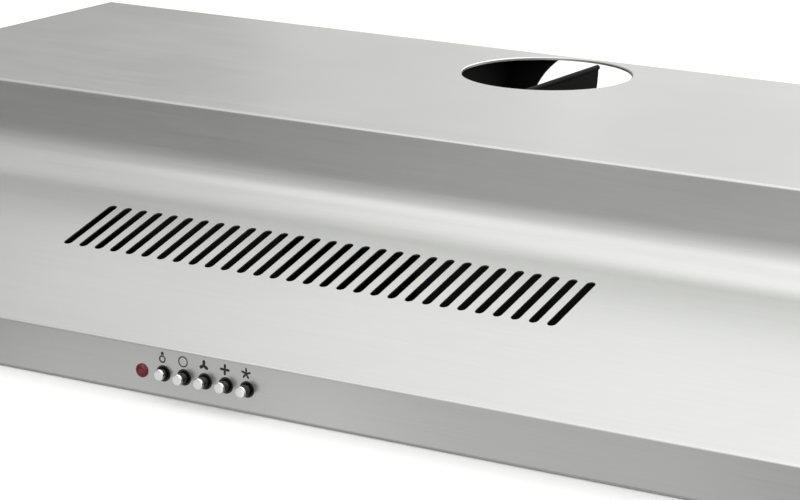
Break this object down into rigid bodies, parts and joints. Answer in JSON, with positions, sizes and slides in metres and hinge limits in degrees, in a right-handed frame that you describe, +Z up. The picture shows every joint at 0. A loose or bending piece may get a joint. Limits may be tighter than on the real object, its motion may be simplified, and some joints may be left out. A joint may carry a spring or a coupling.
{
  "type": "under cabinet range hood",
  "caption": "Slim stainless steel under cabinet range hood with a sloped front, air slots, a round top duct opening, chrome push buttons, a pilot light and aluminium grease filters.",
  "frame": {"origin": "middle of the whole object's footprint, at the canopy's lower edge", "axes": "+X along the width, +Y to the wall, so the controls face -Y, +Z up"},
  "size_m": [0.9, 0.5084, 0.145],
  "materials": {
    "stainless": "fine brushed grain along the width, satin",
    "zinc_steel": "zinc plated, dull",
    "chrome": "polished",
    "aluminium": "mill finish, expanded mesh",
    "black_plastic": "moulded, slightly textured",
    "white_plastic": "moulded, satin",
    "lamp_lens": "frosted, prismatic",
    "bulb_glass": "frosted glass",
    "red_lens": "deep red, glossy",
    "rubber": "matt",
    "motor_paint": "black paint on steel"
  },
  "bodies": {
    "hood": {"canopy_shell": "stainless", "side_panel_left": "stainless", "side_panel_right": "stainless", "back_panel": "stainless", "light_panel": "stainless", "outlet_box": "black_plastic", "damper_pin": "zinc_steel", "scroll_lower": "black_plastic", "scroll_upper": "black_plastic", "inlet_guard": "black_plastic", "motor_body": "motor_paint", "motor_bracket": "zinc_steel", "motor_capacitor": "white_plastic", "motor_bush_1": "rubber", "motor_bush_2": "rubber", "motor_bush_3": "rubber", "motor_screw_1": "zinc_steel", "motor_screw_2": "zinc_steel", "motor_screw_3": "zinc_steel", "recirculation_duct": "black_plastic", "terminal_box": "black_plastic", "terminal_cover": "black_plastic", "terminal_strip": "white_plastic", "cable_gland": "black_plastic", "switch_bank": "black_plastic", "indicator_body": "black_plastic", "indicator_lens": "red_lens", "lamp_lens_left": "lamp_lens", "lamp_lens_right": "lamp_lens", "lamp_bulb_left": "bulb_glass", "lamp_bulb_right": "bulb_glass", "lamp_holder_left": "white_plastic", "lamp_holder_right": "white_plastic", "lamp_bracket_left": "zinc_steel", "lamp_bracket_right": "zinc_steel"},
    "rotor": {"impeller": "black_plastic", "rotor_shaft": "zinc_steel"},
    "damper": {"damper_flap": "black_plastic"},
    "diverter": {"diverter_flap": "black_plastic"},
    "button_lamp": {"button_lamp": "chrome"},
    "button_off": {"button_off": "chrome"},
    "button_speed_1": {"button_speed_1": "chrome"},
    "button_speed_2": {"button_speed_2": "chrome"},
    "button_speed_3": {"button_speed_3": "chrome"},
    "filter_1": {"filter_frame_1": "aluminium", "filter_mesh_1": "aluminium"},
    "latch_1": {"filter_latch_1": "zinc_steel"},
    "filter_2": {"filter_frame_2": "aluminium", "filter_mesh_2": "aluminium"},
    "latch_2": {"filter_latch_2": "zinc_steel"},
    "filter_3": {"filter_frame_3": "aluminium", "filter_mesh_3": "aluminium"},
    "latch_3": {"filter_latch_3": "zinc_steel"}
  },
  "joints": [
    {"name": "button_lamp_push", "type": "slide", "parent": "hood", "child": "button_lamp", "axis": [0, 1, 0], "range_m": [-0.0025, 0.001], "stiffness_N_per_m": 250},
    {"name": "button_off_push", "type": "slide", "parent": "hood", "child": "button_off", "axis": [0, 1, 0], "range_m": [0, 0.0035], "stiffness_N_per_m": 250},
    {"name": "button_speed_1_push", "type": "slide", "parent": "hood", "child": "button_speed_1", "axis": [0, 1, 0], "range_m": [0, 0.0035], "stiffness_N_per_m": 250},
    {"name": "button_speed_2_push", "type": "slide", "parent": "hood", "child": "button_speed_2", "axis": [0, 1, 0], "range_m": [0, 0.0035], "stiffness_N_per_m": 250},
    {"name": "button_speed_3_push", "type": "slide", "parent": "hood", "child": "button_speed_3", "axis": [0, 1, 0], "range_m": [0, 0.0035], "stiffness_N_per_m": 250},
    {"name": "rotor_spin", "type": "hinge", "parent": "hood", "child": "rotor", "pos_m": [-0.175, 0.07925, 0.064], "axis": [0, 0, 1], "continuous": true},
    {"name": "damper_swing", "type": "hinge", "parent": "hood", "child": "damper", "pos_m": [0.012, 0.18925, 0.1414], "axis": [0, -1, 0], "range_deg": [0, 78]},
    {"name": "diverter_turn", "type": "hinge", "parent": "hood", "child": "diverter", "pos_m": [0, 0.08425, 0.0695], "axis": [-1, 0, 0], "range_deg": [0, 85]},
    {"name": "filter_tilt_1", "type": "hinge", "parent": "hood", "child": "filter_1", "pos_m": [-0.29033, 0.23425, 0.00115], "axis": [1, 0, 0], "range_deg": [0, 80]},
    {"name": "latch_slide_1", "type": "slide", "parent": "filter_1", "child": "latch_1", "axis": [0, -1, 0], "range_m": [0, 0.005]},
    {"name": "filter_tilt_2", "type": "hinge", "parent": "hood", "child": "filter_2", "pos_m": [0, 0.23425, 0.00115], "axis": [1, 0, 0], "range_deg": [0, 80]},
    {"name": "latch_slide_2", "type": "slide", "parent": "filter_2", "child": "latch_2", "axis": [0, -1, 0], "range_m": [0, 0.005]},
    {"name": "filter_tilt_3", "type": "hinge", "parent": "hood", "child": "filter_3", "pos_m": [0.29033, 0.23425, 0.00115], "axis": [1, 0, 0], "range_deg": [0, 80]},
    {"name": "latch_slide_3", "type": "slide", "parent": "filter_3", "child": "latch_3", "axis": [0, -1, 0], "range_m": [0, 0.005]}
  ]
}
